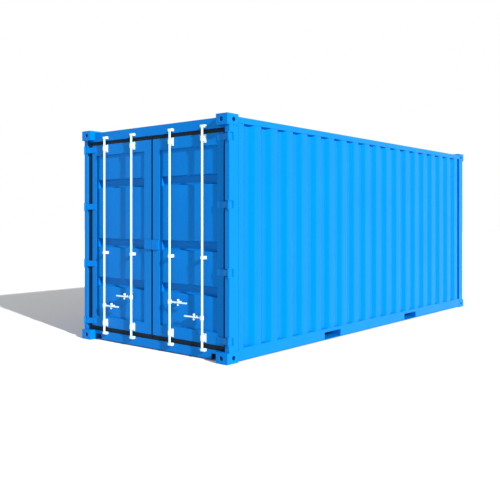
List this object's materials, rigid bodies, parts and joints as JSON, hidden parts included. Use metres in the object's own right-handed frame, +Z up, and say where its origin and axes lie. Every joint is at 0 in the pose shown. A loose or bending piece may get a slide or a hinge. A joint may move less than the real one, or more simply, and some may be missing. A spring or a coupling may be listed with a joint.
{
  "type": "shipping container",
  "caption": "Twenty-foot dry freight container with corrugated steel walls, corner castings, fork pockets and two hinged doors with turning lock rods.",
  "frame": {"origin": "middle of the footprint, on the ground under the four bottom corner castings", "axes": "+X along the container from the door end to the blind end, +Y to the left of someone who faces the doors from outside, +Z up"},
  "size_m": [6.058, 2.438, 2.591],
  "materials": {
    "blue_paint": "satin sky-blue marine paint on steel",
    "gear_zinc": "bright white zinc coating on forged steel",
    "seal_rubber": "matt black extruded rubber",
    "floor_timber": "sealed hardwood plywood planks"
  },
  "bodies": {
    "shell": {"castings_blind_bottom": "blue_paint", "castings_blind_top": "blue_paint", "castings_door_bottom": "blue_paint", "castings_door_top": "blue_paint", "cross_members": "blue_paint", "floor": "floor_timber", "fork_pockets": "blue_paint", "header": "blue_paint", "hinge_lugs": "blue_paint", "keepers_header": "gear_zinc", "keepers_sill": "gear_zinc", "post_blind_left": "blue_paint", "post_blind_right": "blue_paint", "post_door_left": "blue_paint", "post_door_right": "blue_paint", "rail_blind_bottom": "blue_paint", "rail_blind_top": "blue_paint", "rail_bottom_left": "blue_paint", "rail_bottom_right": "blue_paint", "rail_top_left": "blue_paint", "rail_top_right": "blue_paint", "roof": "blue_paint", "sill": "blue_paint", "wall_blind": "blue_paint", "wall_left": "blue_paint", "wall_right": "blue_paint"},
    "door_left": {"door_brackets_left": "gear_zinc", "door_frame_left": "blue_paint", "door_hinges_left": "blue_paint", "door_panel_left": "blue_paint", "door_plate_left": "blue_paint", "door_seal_left": "seal_rubber"},
    "rod_left_outer": {"lock_handle_outer_left": "gear_zinc", "lock_rod_outer_left": "gear_zinc"},
    "rod_left_inner": {"lock_handle_inner_left": "gear_zinc", "lock_rod_inner_left": "gear_zinc"},
    "door_right": {"door_brackets_right": "gear_zinc", "door_frame_right": "blue_paint", "door_hinges_right": "blue_paint", "door_panel_right": "blue_paint", "door_plate_right": "blue_paint", "door_seal_right": "seal_rubber"},
    "rod_right_outer": {"lock_handle_outer_right": "gear_zinc", "lock_rod_outer_right": "gear_zinc"},
    "rod_right_inner": {"lock_handle_inner_right": "gear_zinc", "lock_rod_inner_right": "gear_zinc"}
  },
  "joints": [
    {"name": "door_left_swing", "type": "hinge", "parent": "shell", "child": "door_left", "pos_m": [-2.995, 1.205, 1.3], "axis": [0, 0, -1], "range_deg": [0, 264]},
    {"name": "door_right_swing", "type": "hinge", "parent": "shell", "child": "door_right", "pos_m": [-2.995, -1.205, 1.3], "axis": [0, 0, 1], "range_deg": [0, 264]},
    {"name": "rod_left_outer_turn", "type": "hinge", "parent": "door_left", "child": "rod_left_outer", "pos_m": [-2.991, 0.825, 1.3], "axis": [0, 0, 1], "range_deg": [-100, 0]},
    {"name": "rod_left_inner_turn", "type": "hinge", "parent": "door_left", "child": "rod_left_inner", "pos_m": [-2.991, 0.325, 1.3], "axis": [0, 0, -1], "range_deg": [-100, 0]},
    {"name": "rod_right_outer_turn", "type": "hinge", "parent": "door_right", "child": "rod_right_outer", "pos_m": [-2.991, -0.825, 1.3], "axis": [0, 0, -1], "range_deg": [-100, 0]},
    {"name": "rod_right_inner_turn", "type": "hinge", "parent": "door_right", "child": "rod_right_inner", "pos_m": [-2.991, -0.325, 1.3], "axis": [0, 0, 1], "range_deg": [-100, 0]}
  ]
}
